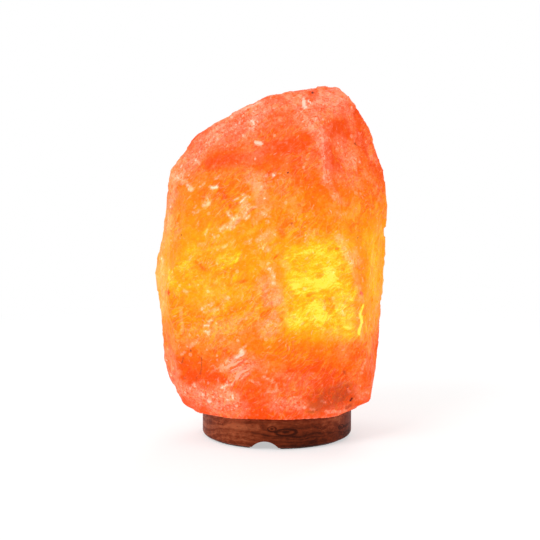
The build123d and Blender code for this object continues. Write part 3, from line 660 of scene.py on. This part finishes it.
saltLook = {
    "glowStops": ((0.0, (0.50, 0.036, 0.001)), (0.15, (0.54, 0.080, 0.001)), (0.30, (0.56, 0.140, 0.001)),
                  (0.45, (0.58, 0.215, 0.001)), (0.60, (0.58, 0.300, 0.002)), (0.75, (0.60, 0.415, 0.003)),
                  (0.88, (0.62, 0.590, 0.010)), (1.0, (0.66, 0.820, 0.060))),
    "clear": (0.44, 0.042, 0.004), "frosted": (0.86, 0.335, 0.225), "dirty": (0.30, 0.045, 0.016),
    # the fleck colour is partly frosted specks and partly painted glints
    "fleckAndGlint": (0.95, 0.55, 0.44), "black": (0.015, 0.010, 0.012), "ember": (0.42, 0.012, 0.0),
    "veiled": (0.10, 0.004, 0.0),                               # what still glows through dirt and frost
    "steepTurn": 46.0, "flatTurn": 17.0, "crossTurn": -38.0,    # how the chisel's streaks climb to the right
    "hatchTurn": 38.0, "hatched": ((-27.0, -60.0, 56.5), (15.0, 22.0, 12.0)),    # the hatched break: centre, reach
    "blotchSizes": (30.0, 9.0, 3.2, 1.1), "workedSize": 24.0,
    "splinterSize": 3.4, "sliverSize": 1.9, "crumbSize": 1.9,
    "swaySize": 0.06, "sway": 12.0, "roughness": (0.32, 0.75), "gloss": 0.03, "index": 1.54, "relief": 0.6,
}


def saltMaterial():
    material, tree, shader = newMaterial("rockSalt")
    place = millimetres(tree)
    marks = addNode(tree, "ShaderNodeAttribute", attribute_name="saltMarks")
    split = addNode(tree, "ShaderNodeSeparateColor", {"Color": marks.outputs["Color"]}).outputs
    glow, frost, relief, dirt = split["Red"], split["Green"], split["Blue"], marks.outputs["Alpha"]
    chips = addNode(tree, "ShaderNodeAttribute", attribute_name="saltChips")
    tones = addNode(tree, "ShaderNodeSeparateColor", {"Color": chips.outputs["Color"]}).outputs

    def blotch(size, low, high, detail=3.0, vector=place):
        return cloudMask(tree, vector, size, detail, low, high)

    def sway(mask, amount):
        return mathNode(tree, "MULTIPLY_ADD", mask, amount, -amount / 2)

    def total(first, *others):
        for other in others:
            first = mathNode(tree, "ADD", first, other)
        return first

    def product(first, *others):
        for other in others:
            first = mathNode(tree, "MULTIPLY", first, other)
        return first

    def most(first, *others):
        for other in others:
            first = mathNode(tree, "MAXIMUM", first, other)
        return first

    def speckle(vector, spacing, radius, softness=0.1):
        inputs = {"Vector": vector, "Spacing": spacing, "Radius": radius, "Softness": softness}
        return useGroup(tree, specks, inputs)["Mask"]

    bend = noiseNode(tree, place, saltLook["swaySize"], 3.0)["Color"]
    bent = vectorNode(tree, "SCALE", bend, scale=saltLook["sway"]).outputs[0]
    swayed = vectorNode(tree, "ADD", place, bent).outputs[0]

    def drawnOut(turn, squeeze=0.25):
        # the place, drawn out along the chisel's way
        turned = addNode(tree, "ShaderNodeMapping", {"Vector": swayed, "Rotation": (0, math.radians(turn), 0)})
        drawn = {"Vector": turned.outputs[0], "Scale": (squeeze, 0.6, 1.0)}
        return addNode(tree, "ShaderNodeMapping", drawn).outputs[0]

    steep, flat, cross = (drawnOut(saltLook[way]) for way in ("steepTurn", "flatTurn", "crossTurn"))
    big, middle, small, grain = (blotch(size, 0.3, 0.7) for size in saltLook["blotchSizes"])
    worked = blotch(saltLook["workedSize"], 0.42, 0.60)    # where the chisel left its strokes
    splinter = useGroup(tree, shards, {"Vector": steep, "Spacing": saltLook["splinterSize"], "Line": 0.05})
    sliver = useGroup(tree, shards, {"Vector": flat, "Spacing": saltLook["sliverSize"], "Line": 0.06})
    crumble = useGroup(tree, shards, {"Vector": place, "Spacing": saltLook["crumbSize"], "Line": 0.10})
    steepBlur, flatBlur = blotch(1.8, 0.40, 0.66, 4.0, steep), blotch(1.6, 0.38, 0.66, 4.0, flat)
    hot = remap(tree, glow, 0.60, 0.84)
    amber = remap(tree, glow, 0.38, 0.60)

    # how hot each spot glows; ridges glow a little less and hollows a little more, a painted shading that brings out
    # the relief
    heat = total(glow, sway(big, 0.08), sway(middle, 0.06), sway(small, 0.05), sway(grain, 0.08),
                 sway(tones["Red"], 0.05), sway(tones["Green"], 0.03), sway(tones["Blue"], 0.06),
                 product(sway(splinter["Tone"], 0.13), worked, amber), product(sway(sliver["Tone"], 0.07), hot),
                 product(sway(flatBlur, 0.13), hot),
                 product(sway(steepBlur, 0.24), total(product(worked, 0.7), 0.3),
                         remap(tree, glow, 0.62, 0.80, 1.0, 0.4)),
                 product(remap(tree, relief, 0.55, 0.95), -0.05),
                 product(remap(tree, relief, 0.1, 0.45, 1.0, 0.0), 0.04))
    emitted = colourRamp(tree, most(heat, 0.0), saltLook["glowStops"])

    # how white its skin is bruised: soft haze, crumbly grain in the haze, and the chisel's pale strokes; ridges come
    # out whiter, partly frosted edges and partly painted highlight
    haze = total(product(frost, 0.52), product(remap(tree, relief, 0.58, 1.0), 0.22), sway(tones["Red"], 0.07),
                 sway(middle, 0.08), sway(small, 0.10), sway(big, 0.12), 0.03)
    soft = remap(tree, haze, -0.02, 0.85, smooth=False)
    crumbs = product(total(sway(crumble["Tone"], 0.60), sway(grain, 0.50)), remap(tree, haze, 0.02, 0.50, 0.15, 1.0))
    centre, reach = saltLook["hatched"]
    near = vectorNode(tree, "SUBTRACT", place, centre).outputs[0]
    near = vectorNode(tree, "DIVIDE", near, reach).outputs[0]
    near = vectorNode(tree, "LENGTH", near).outputs["Value"]
    hatch = product(speckle(drawnOut(saltLook["hatchTurn"], 0.10), 1.5, 0.75), remap(tree, near, 0.6, 1.0, 1.0, 0.0))
    strokes = most(product(speckle(steep, 1.7, 0.46), blotch(11.0, 0.46, 0.62)), product(hatch, 1.8),
                   product(speckle(cross, 1.9, 0.36), blotch(13.0, 0.54, 0.66)),
                   product(splinter["Line"], worked, 0.55),
                   product(sliver["Line"], hot, 0.20))
    frostMask = mathNode(tree, "ADD", total(soft, crumbs), product(strokes, 0.50), clamp=True)

    # grains of white, red and black; the white flecks are partly frosted grains and partly painted glints
    fine = product(speckle(place, 2.5, 0.42, 0.12),
                   remap(tree, total(haze, sway(grain, 0.2)), 0.05, 0.55, 0.10, 0.85))
    bold = product(speckle(place, 6.5, 0.26, 0.08), remap(tree, total(haze, sway(big, 0.2)), 0.0, 0.5, 0.25, 1.0))
    embers = product(speckle(steep, 5.5, 0.20, 0.12), blotch(17.0, 0.46, 0.60))
    soil = mathNode(tree, "MULTIPLY", dirt, remap(tree, total(small, middle, grain), 0.4, 2.0, 0.25, 1.3), clamp=True)
    black = remap(tree, total(dirt, sway(grain, 0.3), sway(small, 0.2)), 0.95, 1.15)
    pepper = product(speckle(place, 8.0, 0.13, 0.08), blotch(20.0, 0.52, 0.62))

    body = mixColour(tree, frostMask, saltLook["clear"], saltLook["frosted"])
    # the strongest frost marks and the white grains take the fleck colour: partly frosted specks, partly painted
    # glints
    frostFleckAndGlint = remap(tree, frost, 1.05, 1.5)
    body = mixColour(tree, most(product(fine, 0.75), product(bold, 0.9), frostFleckAndGlint), body, saltLook["fleckAndGlint"])
    body = mixColour(tree, product(soil, 0.8), body, saltLook["dirty"])
    body = mixColour(tree, most(black, pepper), body, saltLook["black"])

    veil = most(product(frostMask, 0.26), product(soil, 0.62), black, product(pepper, 0.8))
    lit = mixColour(tree, product(embers, 0.7), emitted, saltLook["ember"])
    height = total(product(splinter["Tone"], worked, 0.5), product(small, 0.5), product(grain, 0.25),
                   product(fine, 0.6), product(steepBlur, 0.4))
    fillInputs(tree, shader, {
        "Base Color": body, "Emission Color": mixColour(tree, veil, lit, saltLook["veiled"]),
        "Emission Strength": 1.0,
        "Roughness": remap(tree, total(product(small, 0.5), frostMask), 0.0, 1.3, *saltLook["roughness"]),
        "Specular IOR Level": saltLook["gloss"], "IOR": saltLook["index"],
        "Normal": bumpNormal(tree, height, 0.6, saltLook["relief"])})
    return material


makeCrystal()
print("stage: crystal")


# finishes of the other pieces

woodLook = {
    "dark": (0.036, 0.0055, 0.0018), "middle": (0.150, 0.0240, 0.0065), "pale": (0.340, 0.0880, 0.034),
    "slant": 0.16, "drift": 14.0, "rings": 0.48, "ringShare": 0.34, "ground": 0.04,    # how the grain runs and shows
    "knotRing": 0.42, "knotEye": 0.10, "knotShade": 0.55,
    # painted highlights and painted shade on the board's front: paler on the left with two small highlight spots,
    # darker in the middle, low down and on the right, each at (x, z) with its reach both ways
    "tones": (((-44.0, 12.0), (16.0, 14.0), 0.26), ((-29.0, 16.5), (7.0, 5.0), 0.30),
              ((41.0, 18.0), (6.0, 3.5), 0.26), ((-20.0, 12.0), (13.0, 12.0), 0.21),
              ((10.0, 9.0), (24.0, 9.0), -0.18), ((24.0, 3.0), (26.0, 6.0), -0.20),
              ((49.0, 8.0), (7.0, 12.0), -0.26)),
    # knots in the board, each at (x, z) with the height it lifts the grain and its reach both ways
    "knots": (((-3.6, 15.0), 5.0, (4.4, 2.6)), ((6.0, 12.6), 3.4, (11.0, 3.6)), ((44.5, 11.0), 4.0, (2.8, 2.4)),
              ((31.5, 13.2), 2.6, (2.4, 1.7)), ((-39.2, 15.2), 2.6, (2.6, 1.6))),
}


def woodMaterial():
    # the board's grain runs from left to right, lifts round the knots and shows its pores
    material, tree, shader = newMaterial("turnedWood")
    place = millimetres(tree)
    spread = addNode(tree, "ShaderNodeSeparateXYZ", {"Vector": place}).outputs

    def away(centre, reach):
        # squared distance from a spot on the rim, in shares of its reach
        side = mathNode(tree, "DIVIDE", mathNode(tree, "SUBTRACT", spread["X"], centre[0]), reach[0])
        rise = mathNode(tree, "DIVIDE", mathNode(tree, "SUBTRACT", spread["Z"], centre[1]), reach[1])
        return mathNode(tree, "MULTIPLY_ADD", side, side, mathNode(tree, "MULTIPLY", rise, rise))

    def bell(centre, reach):
        return mathNode(tree, "EXPONENT", mathNode(tree, "MULTIPLY", away(centre, reach), -1.0))

    slow = addNode(tree, "ShaderNodeMapping", {"Vector": place, "Scale": (0.018, 0.05, 0.06)})
    drift = noiseNode(tree, slow.outputs[0], 1.0, 3.0)["Fac"]
    level = mathNode(tree, "MULTIPLY_ADD", spread["Y"], woodLook["slant"], spread["Z"])
    level = mathNode(tree, "MULTIPLY_ADD", drift, woodLook["drift"], level)
    heart = 0.0
    for centre, lift, reach in woodLook["knots"]:
        level = mathNode(tree, "MULTIPLY_ADD", bell(centre, [part * 1.5 for part in reach]), lift, level)
        # a knot is a dark ring with a small dark eye
        offRing = mathNode(tree, "SUBTRACT", away(centre, reach), woodLook["knotRing"])
        offRing = mathNode(tree, "ABSOLUTE", offRing)
        eye = remap(tree, away(centre, reach), 0.0, woodLook["knotEye"], min(lift / 5.0, 0.7), 0.0)
        heart = mathNode(tree, "MAXIMUM", remap(tree, offRing, 0.04, 0.26, min(lift / 5.0, 0.75), 0.0), heart)
        heart = mathNode(tree, "MAXIMUM", eye, heart)
    # the painted highlights and painted shade, laid on the front only
    tone = 0.0
    for centre, reach, strength in woodLook["tones"]:
        tone = mathNode(tree, "MULTIPLY_ADD", bell(centre, reach), strength, tone)
    onFront = remap(tree, spread["Y"], -8.0, 8.0, 1.0, 0.0)
    tone, heart = mathNode(tree, "MULTIPLY", tone, onFront), mathNode(tree, "MULTIPLY", heart, onFront)
    across, deep = (mathNode(tree, "MULTIPLY", spread[axis], 0.01) for axis in "XY")
    grainPlace = addNode(tree, "ShaderNodeCombineXYZ", {"X": across, "Y": level, "Z": deep}).outputs[0]
    rings = noiseNode(tree, grainPlace, woodLook["rings"], 4.0, 0.60)["Fac"]
    along = addNode(tree, "ShaderNodeMapping", {"Vector": place, "Scale": (0.10, 0.6, 1.0)}).outputs[0]
    fibre = noiseNode(tree, along, 1.3, 5.0)["Fac"]
    pores = useGroup(tree, specks, {"Vector": along, "Spacing": 0.75, "Radius": 0.52, "Softness": 0.2})["Mask"]
    patch, mottle = cloudMask(tree, place, 30.0, 2.0), cloudMask(tree, place, 4.0, 4.0)
    rings = remap(tree, rings, 0.30, 0.70)
    band = mathNode(tree, "MULTIPLY_ADD", rings, woodLook["ringShare"], woodLook["ground"])
    for share, amount in ((remap(tree, fibre, 0.3, 0.7), 0.16), (patch, 0.14), (mottle, 0.20), (tone, 1.0)):
        band = mathNode(tree, "MULTIPLY_ADD", share, amount, band)
    band = mathNode(tree, "MULTIPLY_ADD", heart, -woodLook["knotShade"], band, clamp=True)
    colour = colourRamp(tree, band, ((0.05, woodLook["dark"]), (0.5, woodLook["middle"]), (0.98, woodLook["pale"])))
    colour = mixColour(tree, mathNode(tree, "MULTIPLY", pores, 0.5), colour, woodLook["dark"])
    height = mathNode(tree, "SUBTRACT", mathNode(tree, "MULTIPLY", fibre, 0.6), pores)
    fillInputs(tree, shader, {
        "Base Color": colour, "Roughness": remap(tree, band, 0.0, 1.0, 0.55, 0.40), "Specular IOR Level": 0.05,
        "Normal": bumpNormal(tree, height, 0.3, 0.25)})
    return material


def wornMaterial(name, colour, metallic, roughness, size=6.0, scratch=0.5, coat=0.0, dulling=0.72):
    material, tree, shader = newMaterial(name)
    wear = useGroup(tree, handlingWear, {"Vector": millimetres(tree), "Size": size, "Scratch": scratch})
    dull = tuple(part * dulling for part in colour)
    fillInputs(tree, shader, {
        "Base Color": mixColour(tree, remap(tree, wear["Shade"], 0.75, 1.04), dull, colour),
        "Roughness": remap(tree, wear["Rough"], 0.0, 1.0, roughness * 0.75, roughness * 1.3),
        "Metallic": metallic, "Coat Weight": coat, "Normal": bumpNormal(tree, wear["Height"], 0.2, 0.05)})
    return material


def feltMaterial():
    material, tree, shader = newMaterial("pressedFelt")
    place = millimetres(tree)
    fuzz, patch = cloudMask(tree, place, 0.5, 5.0), cloudMask(tree, place, 9.0, 2.0)
    shade = mathNode(tree, "MULTIPLY_ADD", patch, 0.3, mathNode(tree, "MULTIPLY", fuzz, 0.7))
    fillInputs(tree, shader, {
        "Base Color": mixColour(tree, shade, (0.035, 0.022, 0.018), (0.10, 0.065, 0.05)),
        "Roughness": 0.95, "Sheen Weight": 0.4, "Normal": bumpNormal(tree, fuzz, 0.6, 0.2)})
    return material


def glassMaterial(name, colour, glow, roughness):
    material, tree, shader = newMaterial(name)
    film = cloudMask(tree, millimetres(tree), 7.0, 3.0)
    fillInputs(tree, shader, {
        "Base Color": colour, "Roughness": remap(tree, film, 0.0, 1.0, roughness, roughness + 0.05),
        "Transmission Weight": 1.0, "IOR": 1.5, "Emission Color": (1.0, 0.62, 0.25), "Emission Strength": glow})
    return material


def filamentMaterial():
    material, tree, shader = newMaterial("glowingFilament")
    heat = cloudMask(tree, millimetres(tree), 1.5, 2.0, 0.2, 0.8)
    fillInputs(tree, shader, {
        "Emission Color": mixColour(tree, heat, (1.0, 0.62, 0.22), (1.0, 0.85, 0.55)),
        "Emission Strength": 12.0, "Base Color": (0.2, 0.18, 0.16)})
    return material


zinc = wornMaterial("zincPlate", (0.62, 0.63, 0.66), 1.0, 0.34, 8.0, 0.5)
wire = wornMaterial("springWire", (0.46, 0.46, 0.48), 1.0, 0.30, 3.0, 0.8)
yellowZinc = wornMaterial("yellowZinc", (0.62, 0.52, 0.28), 1.0, 0.36, 2.0, 0.4)
brass = wornMaterial("tarnishedBrass", (0.72, 0.50, 0.20), 1.0, 0.28, 5.0, 0.5)
capMetal = wornMaterial("rolledCap", (0.60, 0.58, 0.55), 1.0, 0.30, 4.0, 0.6)
leadMetal = wornMaterial("leadWire", (0.55, 0.50, 0.46), 1.0, 0.35, 1.0, 0.3)
solderMetal = wornMaterial("softSolder", (0.55, 0.55, 0.57), 1.0, 0.42, 1.2, 0.2)
finishes = {
    "wooden_base": woodMaterial(),
    "felt_ring": feltMaterial(),
    "base_screws": yellowZinc,
    "screw_anchors": wornMaterial("mouldedNylon", (0.62, 0.62, 0.58), 0.0, 0.55, 4.0, 0.2, dulling=0.9),
    "cover_plate": zinc, "clip_bracket": zinc, "clip_pins": zinc, "lock_washer": zinc,
    "wing_clip_left": wire, "wing_clip_right": wire,
    "threaded_nipple": brass, "lock_nut": brass, "terminal_screws": brass, "thread_shell": brass,
    "centre_contact": brass,
    "cord_gland": wornMaterial("glandRubber", (0.030, 0.030, 0.030), 0.0, 0.7, 3.0, 0.2),
    "socket_base": wornMaterial("holderPlastic", (0.78, 0.74, 0.64), 0.0, 0.38, 11.0, 0.25, 0.1, dulling=0.93),
    "contact_block": wornMaterial("glazedBlock", (0.78, 0.76, 0.70), 0.0, 0.22, 5.0, 0.1, 0.3, dulling=0.93),
    "bulb_cap": capMetal,
    "bulb_cap_insulator": wornMaterial("blackGlass", (0.012, 0.012, 0.018), 0.0, 0.12, 3.0, 0.1, 0.5),
    "bulb_tip_contact": solderMetal,
    "bulb_glass": glassMaterial("blownGlass", (1.0, 0.80, 0.46), 0.16, 0.10),
    "bulb_stem": glassMaterial("pressedGlass", (0.90, 0.92, 0.88), 0.05, 0.08),
    "bulb_lead_wires": leadMetal,
    "bulb_filament": filamentMaterial(),
}
finishes["socket_sleeve"] = finishes["socket_base"]
for name, material in finishes.items():
    slots = nodes[name].data.materials
    for index in range(len(slots)):
        slots[index] = material
    if not len(slots):
        slots.append(material)
print("stage: finishes")


# the felt under the base

feltShape = {"voxel": 0.45, "nap": 0.09, "napSize": 1.3, "napDrop": 0.5,
             "waviness": 0.05, "waveSize": 9.0, "waveDrop": 0.3, "cut": 0.0969, "area": 0.003626}


def makeFelt():
    # pressed felt, glued under the base: its faces are slightly uneven and its cut edges fray a little
    felt, solid = voxelCopy("felt_ring", "felt_pad", feltShape["voxel"])
    corners = np.array(nodes["felt_ring"].bound_box)
    low, high = corners.min(axis=0), corners.max(axis=0)
    bm = bmesh.new()
    bm.from_mesh(solid)
    bm.normal_update()
    for vert in bm.verts:
        place = vert.co / mm
        push = feltShape["nap"] * (noise.noise(place / feltShape["napSize"]) - feltShape["napDrop"])
        push += feltShape["waviness"] * (noise.noise(place / feltShape["waveSize"]) - feltShape["waveDrop"])
        vert.co = keepInside(vert.co + vert.normal * push * mm, low, high)
    bm.to_mesh(solid)
    bm.free()
    dress(solid, finishes["felt_ring"])
    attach(felt, "lamp_body")
    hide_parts("felt_ring")


makeFelt()
print("stage: felt")
